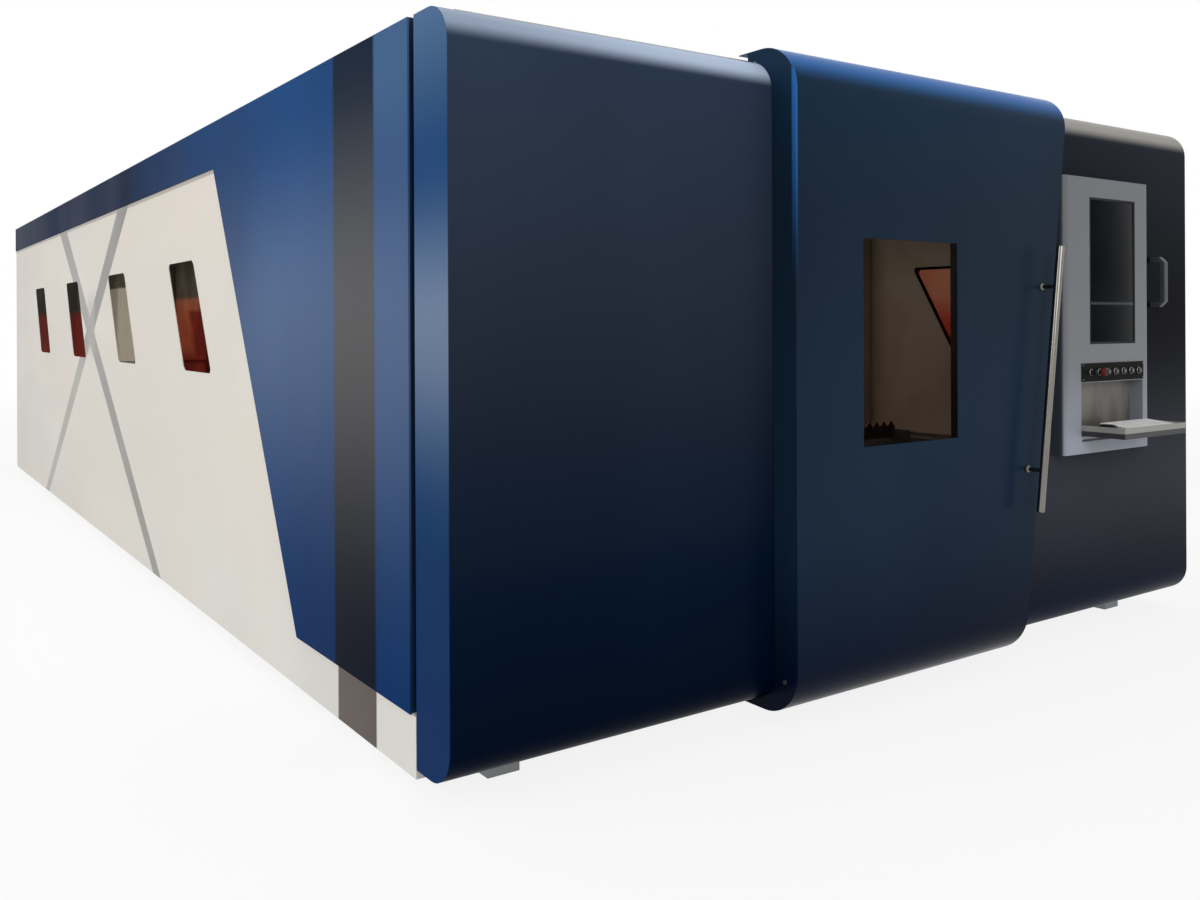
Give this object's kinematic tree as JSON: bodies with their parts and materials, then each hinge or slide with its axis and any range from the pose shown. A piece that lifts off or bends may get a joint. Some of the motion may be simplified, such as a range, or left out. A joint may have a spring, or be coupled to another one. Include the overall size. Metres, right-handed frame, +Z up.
{
  "type": "fiber laser cutting machine",
  "caption": "Long enclosed laser cutting machine with a wrapped sliding door, slanted side windows, a front console with keyboard tray, and a gantry with cutting head over a slatted pallet.",
  "frame": {"origin": "on the floor under the middle of the whole machine, keyboard tray open", "axes": "+X to the right seen from the front, +Y from the front into the machine, +Z up"},
  "size_m": [3.872, 9.047, 2.36],
  "materials": {
    "white_paint": "fine texture, satin",
    "blue_paint": "satin",
    "navy_paint": "satin, low gloss",
    "grey_paint": "satin",
    "frame_paint": "matt",
    "amber_glass": "tinted safety glass",
    "door_glass": "dark tinted safety glass",
    "steel": "brushed",
    "aluminium": "machined, anodised",
    "dark_plastic": "matt",
    "red_plastic": "gloss",
    "button_metal": "polished",
    "keyboard_plastic": "matt"
  },
  "bodies": {
    "machine": {"bed_beams": "frame_paint", "bed_cross_members": "frame_paint", "bed_legs": "frame_paint", "button_collars": "steel", "button_plate": "dark_plastic", "console_housing": "grey_paint", "console_screen": "dark_plastic", "door_bottom_rail": "steel", "door_header": "navy_paint", "door_sill": "navy_paint", "door_top_rail": "steel", "enclosure_posts": "frame_paint", "enclosure_ties": "frame_paint", "fume_collar": "steel", "grab_handle": "dark_plastic", "left_blue_panel": "blue_paint", "left_cabinet": "navy_paint", "left_wall_panels": "white_paint", "left_windows": "amber_glass", "levelling_feet": "steel", "pallet_cross_tubes": "frame_paint", "pallet_side_rails": "frame_paint", "rear_wall": "white_paint", "right_blue_panel": "blue_paint", "right_cabinet": "navy_paint", "right_wall_panels": "white_paint", "right_windows": "amber_glass", "roof_frame_tubes": "frame_paint", "roof_panels": "white_paint", "scrap_trough": "steel", "shutter_cylinder": "aluminium", "shutter_guides": "steel", "support_slats": "steel", "travel_tracks": "steel", "tray_hinge_pins": "steel"},
    "door": {"door_panel": "navy_paint", "door_frame": "frame_paint", "door_window": "door_glass", "door_handle": "steel", "door_guide_blocks": "steel"},
    "gantry": {"gantry_saddles": "frame_paint", "gantry_runners": "steel", "gantry_beam": "aluminium", "gantry_tracks": "steel"},
    "carriage": {"carriage_runners": "steel", "carriage_plate": "aluminium", "head_lift_drive": "dark_plastic"},
    "head": {"head_slide": "aluminium", "cutting_head": "aluminium"},
    "tray": {"keyboard_tray": "grey_paint", "keyboard": "keyboard_plastic"},
    "stop_button": {"emergency_stop": "red_plastic"},
    "selector": {"selector_knob": "dark_plastic"},
    "shutter": {"rear_shutter": "white_paint"},
    "button_1": {"push_button_1": "button_metal"},
    "button_2": {"push_button_2": "button_metal"},
    "button_3": {"push_button_3": "button_metal"},
    "button_4": {"push_button_4": "button_metal"},
    "button_5": {"push_button_5": "button_metal"}
  },
  "joints": [
    {"name": "door_slide", "type": "slide", "parent": "machine", "child": "door", "axis": [-1, 0, 0], "range_m": [0, 1.18]},
    {"name": "gantry_travel", "type": "slide", "parent": "machine", "child": "gantry", "axis": [0, 1, 0], "range_m": [-3.05, 3.15]},
    {"name": "carriage_travel", "type": "slide", "parent": "gantry", "child": "carriage", "axis": [1, 0, 0], "range_m": [-1, 1]},
    {"name": "head_lift", "type": "slide", "parent": "carriage", "child": "head", "axis": [0, 0, -1], "range_m": [0, 0.12]},
    {"name": "tray_fold", "type": "hinge", "parent": "machine", "child": "tray", "pos_m": [1.2035, -4.3235, 0.887], "axis": [-1, 0, 0], "range_deg": [0, 90]},
    {"name": "stop_press", "type": "slide", "parent": "machine", "child": "stop_button", "axis": [0, 1, 0], "range_m": [0, 0.006], "stiffness_N_per_m": 600},
    {"name": "selector_turn", "type": "hinge", "parent": "machine", "child": "selector", "pos_m": [1.032, -4.3535, 1.1385], "axis": [0, 1, 0], "range_deg": [-45, 45]},
    {"name": "shutter_lift", "type": "slide", "parent": "machine", "child": "shutter", "axis": [0, 0, 1], "range_m": [0, 0.42]},
    {"name": "button_1_press", "type": "slide", "parent": "machine", "child": "button_1", "axis": [0, 1, 0], "range_m": [0, 0.004], "stiffness_N_per_m": 400},
    {"name": "button_2_press", "type": "slide", "parent": "machine", "child": "button_2", "axis": [0, 1, 0], "range_m": [0, 0.004], "stiffness_N_per_m": 400},
    {"name": "button_3_press", "type": "slide", "parent": "machine", "child": "button_3", "axis": [0, 1, 0], "range_m": [0, 0.004], "stiffness_N_per_m": 400},
    {"name": "button_4_press", "type": "slide", "parent": "machine", "child": "button_4", "axis": [0, 1, 0], "range_m": [0, 0.004], "stiffness_N_per_m": 400},
    {"name": "button_5_press", "type": "slide", "parent": "machine", "child": "button_5", "axis": [0, 1, 0], "range_m": [0, 0.004], "stiffness_N_per_m": 400}
  ]
}
